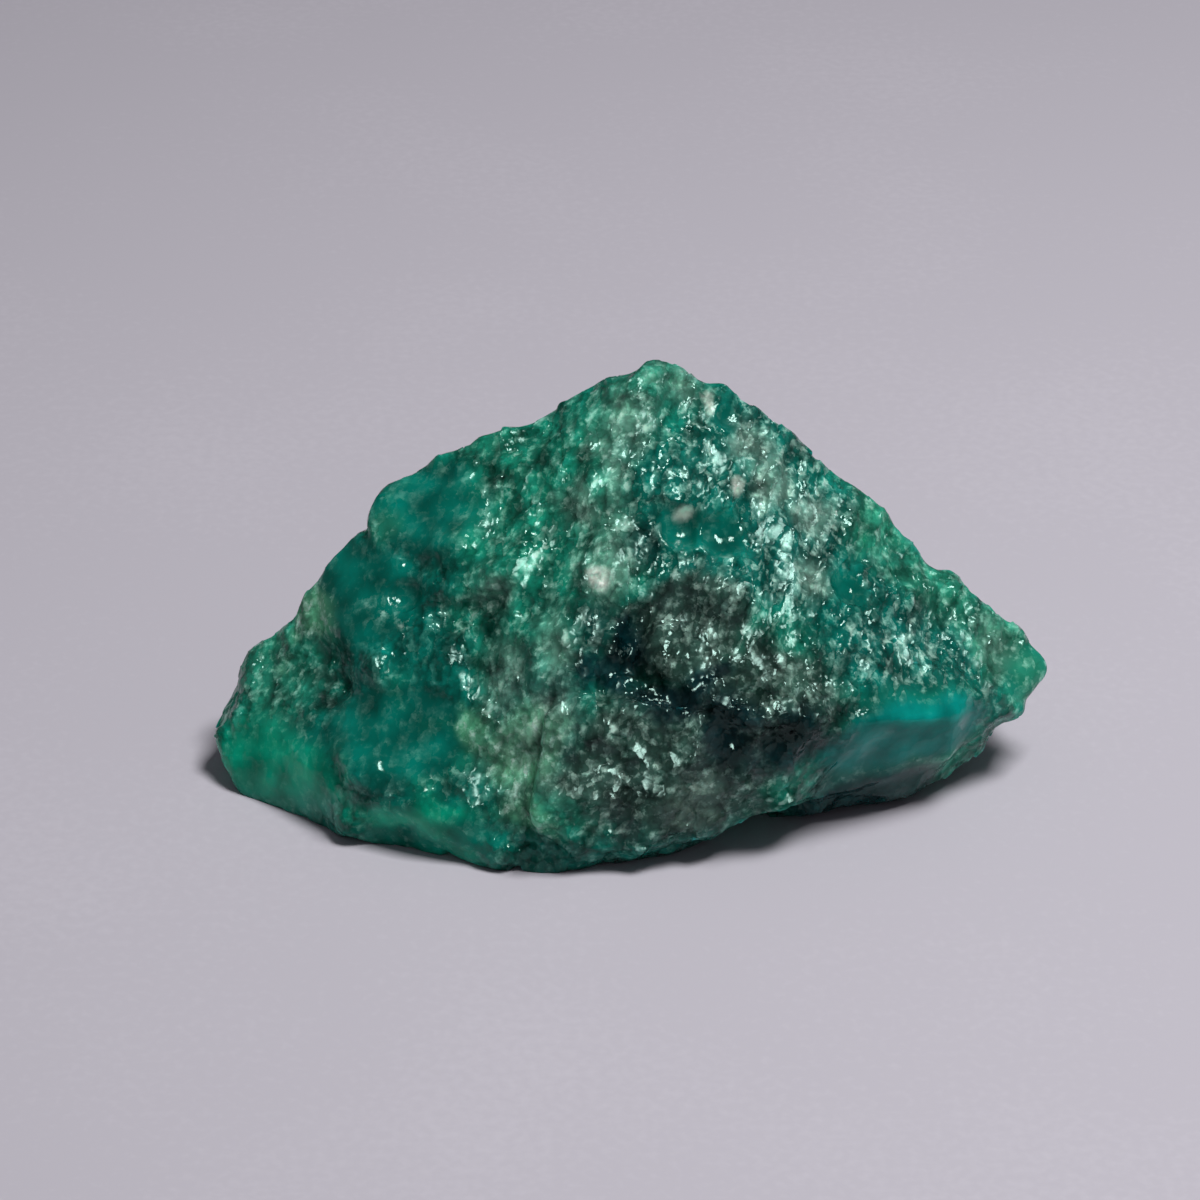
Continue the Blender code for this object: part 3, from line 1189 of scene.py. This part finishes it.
        # Painted sheen, as milky flakes where the stone is cleaved.
        nature[:, 1] = np.maximum(nature[:, 1], self.cleaved_frost_and_sheen * nature[:, 3])
        for name, values in ((COLOUR_LAYER, colour), (NATURE_LAYER, nature)):
            layer = mesh.attributes.new(name, "FLOAT_COLOR", "POINT")
            layer.data.foreach_set("color", values.astype(np.float32).ravel())

    def thin_out(self, piece: bpy.types.Object) -> None:
        """Bring the triangle count down where the skin is plain, and crease the rest.

        Args:
            piece: the broken stone.
        """
        faces = sum(len(face.vertices) - 2 for face in piece.data.polygons)
        fewer = piece.modifiers.new("fewer", "DECIMATE")
        fewer.ratio = self.triangles / faces
        self.apply_modifiers(piece)
        piece.data.polygons.foreach_set("use_smooth", [True] * len(piece.data.polygons))
        piece.data.set_sharp_from_angle(angle=math.radians(self.crease_deg))


@dataclass
class StudioFloor:
    """A plain pale floor under the stone, and the dim room round it."""

    half_side: float = 1.5
    colour: str = "#c9c5ce"
    darker: str = "#bdb9c2"
    # Clouds in the board's tone, and its felted fibres. Real fibres are about 0.02 mm wide and
    # would not show, so they are drawn 0.4 mm wide.
    cloud_mm: float = 50 / 3
    fibre_mm: float = 0.4
    tone_detail: float = 2.0
    matt: float = 0.9
    room: str = "#b9b5be"
    room_light: float = 0.22

    def build(self) -> bpy.types.Object:
        """Lay the floor and light the room.

        Returns:
            The floor.
        """
        s = self.half_side
        mesh = bpy.data.meshes.new("studio_floor")
        mesh.from_pydata([(-s, -s, 0), (s, -s, 0), (s, s, 0), (-s, s, 0)], [], [(0, 1, 2, 3)])
        floor = bpy.data.objects.new("studio_floor", mesh)
        bpy.context.scene.collection.objects.link(floor)
        mesh.materials.append(self.paper())
        world = bpy.data.worlds.new("room")
        world.use_nodes = True
        back = world.node_tree.nodes["Background"]
        back.inputs["Color"].default_value = linear_colour(self.room)
        back.inputs["Strength"].default_value = self.room_light
        bpy.context.scene.world = world
        return floor

    def paper(self) -> bpy.types.Material:
        """Build the floor's material: uncoated lilac-grey board, pressed and left felted.

        The eye sees a matt sheet with no shine, a little cloudy and finely grained.

        Returns:
            The material.
        """
        material = bpy.data.materials.new("matt_floor_paper")
        material.use_nodes = True
        tree = material.node_tree
        tree.nodes.clear()
        place = add_node(tree, "ShaderNodeTexCoord").outputs["Object"]
        tones = []
        for width in (self.cloud_mm, self.fibre_mm):
            noisy = add_node(
                tree,
                "ShaderNodeTexNoise",
                None,
                {"Vector": place, "Scale": 1 / (width * MM), "Detail": self.tone_detail},
            )
            tones.append(noisy.outputs[0])
        both = add_node(tree, "ShaderNodeMath", {"operation": "ADD"}, {0: tones[0], 1: tones[1]})
        shown = add_node(
            tree,
            "ShaderNodeMix",
            {"data_type": "RGBA"},
            {
                "Factor": both.outputs[0],
                6: linear_colour(self.colour),
                7: linear_colour(self.darker),
            },
        ).outputs[2]
        shader = add_node(
            tree, "ShaderNodeBsdfPrincipled", None, {"Base Color": shown, "Roughness": self.matt}
        )
        add_node(
            tree, "ShaderNodeOutputMaterial", None, {"Surface": shader.outputs["BSDF"]}
        )
        return material


@dataclass
class SoftLamp:
    """A square softbox that looks at the stone, with its distance and side in metres."""

    name: str
    towards: Triple
    away: float
    side: float
    watts: float
    colour: str = "#ffffff"

    def build(self) -> bpy.types.Object:
        """Hang the lamp.

        Returns:
            The lamp.
        """
        data = bpy.data.lights.new(self.name, "AREA")
        data.shape = "SQUARE"
        data.size = self.side
        data.energy = self.watts
        data.color = linear_colour(self.colour)[:3]
        lamp = bpy.data.objects.new(self.name, data)
        bpy.context.scene.collection.objects.link(lamp)
        way = Vector(self.towards).normalized()
        lamp.location = way * self.away
        lamp.rotation_euler = way.to_track_quat("Z", "Y").to_euler()
        return lamp


# Close above and a little to the right, so that the floor falls off and few facets glare.
LAMPS = (
    SoftLamp(
        name="key_softbox", towards=(0.31, -0.12, 0.94), away=0.22, side=0.07, watts=0.46
    ),
)


@dataclass
class PhotoCamera:
    """The camera of the photograph, a long lens 30 degrees above the floor, in millimetres."""

    target: Triple = (-1.18, 2.6, 5.0)
    raised_deg: float = 30.0
    away: float = 191.0
    pixels_per_mm: float = 26.2
    sensor: float = 36.0
    seen_from: float = 10.0
    seen_to: float = 10000.0

    def build(self) -> bpy.types.Object:
        """Place the camera and make it the scene's own.

        Returns:
            The camera.
        """
        data = bpy.data.cameras.new("photo_camera")
        data.sensor_width = self.sensor
        data.lens = self.pixels_per_mm * self.away / PHOTO_SIDE * data.sensor_width
        camera = bpy.data.objects.new("photo_camera", data)
        bpy.context.scene.collection.objects.link(camera)
        raised = math.radians(self.raised_deg)
        back = Vector((0.0, -math.cos(raised), math.sin(raised)))
        camera.location = (Vector(self.target) + back * self.away) * MM
        camera.rotation_euler = back.to_track_quat("Z", "Y").to_euler()
        data.clip_start = self.seen_from * MM
        data.clip_end = self.seen_to * MM
        bpy.context.scene.camera = camera
        return camera


def main() -> None:
    """Build the stone and the studio round it."""
    logging.basicConfig(level=logging.INFO)
    bpy.context.scene.view_settings.view_transform = "Standard"
    stone = RoughStone().build()
    LOG.info("%s: %d faces", stone.name, len(stone.data.polygons))
    floor = StudioFloor().build()
    LOG.info("%s laid", floor.name)
    for lamp in LAMPS:
        LOG.info("%s hung", lamp.build().name)
    LOG.info("%s placed", PhotoCamera().build().name)


if __name__ == "__main__":
    main()
